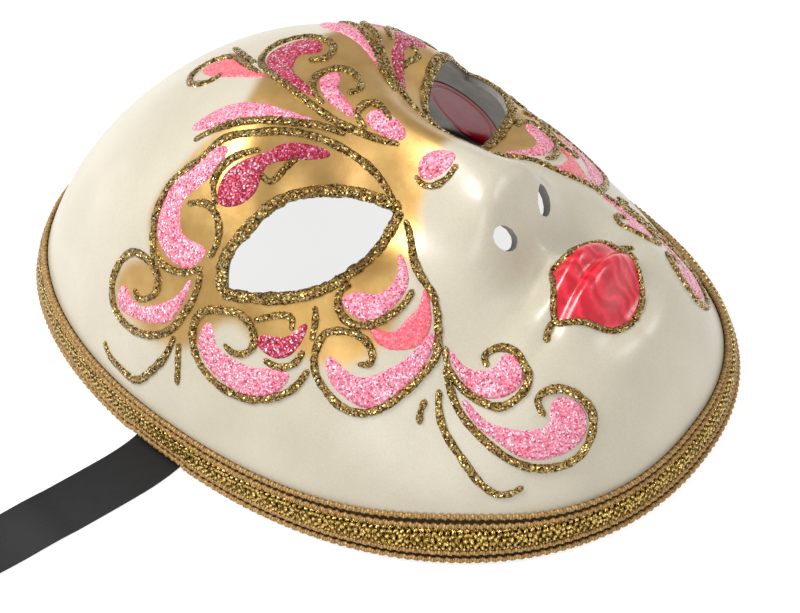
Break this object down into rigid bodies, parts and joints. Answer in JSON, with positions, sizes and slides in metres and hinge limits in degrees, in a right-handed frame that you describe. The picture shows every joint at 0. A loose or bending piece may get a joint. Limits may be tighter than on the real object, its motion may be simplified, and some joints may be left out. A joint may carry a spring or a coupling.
{
  "type": "venetian masquerade mask",
  "caption": "Full-face papier-mache carnival mask with cut eyes, glitter scrollwork, painted lips, a braided metallic rim and satin ribbons at the temples.",
  "frame": {"origin": "middle of the rim, in the plane that the mask rests on", "axes": "+X to the wearer's left across the face, +Y from chin to forehead, +Z out of the face"},
  "size_m": [0.3232, 0.2513, 0.0879],
  "materials": {
    "shell": "pearl lacquer",
    "braid": "metallic thread",
    "gold_glitter": "glitter glue",
    "pink_glitter": "glitter glue",
    "lip_paint": "brushed gloss",
    "patch": "satin",
    "ribbon": "satin"
  },
  "bodies": {
    "root": {"shell": "shell", "rim_braid": "braid", "eye_outline_right": "gold_glitter", "eye_outline_left": "gold_glitter", "brow_scroll_right": "gold_glitter", "brow_scroll_left": "gold_glitter", "temple_scroll_right": "gold_glitter", "temple_scroll_left": "gold_glitter", "cheek_scroll_right": "gold_glitter", "cheek_scroll_left": "gold_glitter", "jaw_scroll_right": "gold_glitter", "jaw_scroll_left": "gold_glitter", "crown_scroll": "gold_glitter", "lip_outline": "gold_glitter", "brow_fill_right": "pink_glitter", "brow_fill_left": "pink_glitter", "temple_fill_right": "pink_glitter", "temple_fill_left": "pink_glitter", "cheek_fill_right": "pink_glitter", "cheek_fill_left": "pink_glitter", "jaw_fill_right": "pink_glitter", "jaw_fill_left": "pink_glitter", "crown_fill": "pink_glitter", "lips": "lip_paint", "ribbon_patch_right": "patch", "ribbon_patch_left": "patch", "ribbon_right": "ribbon", "ribbon_left": "ribbon", "ribbon_right_roll": "ribbon"}
  },
  "joints": []
}
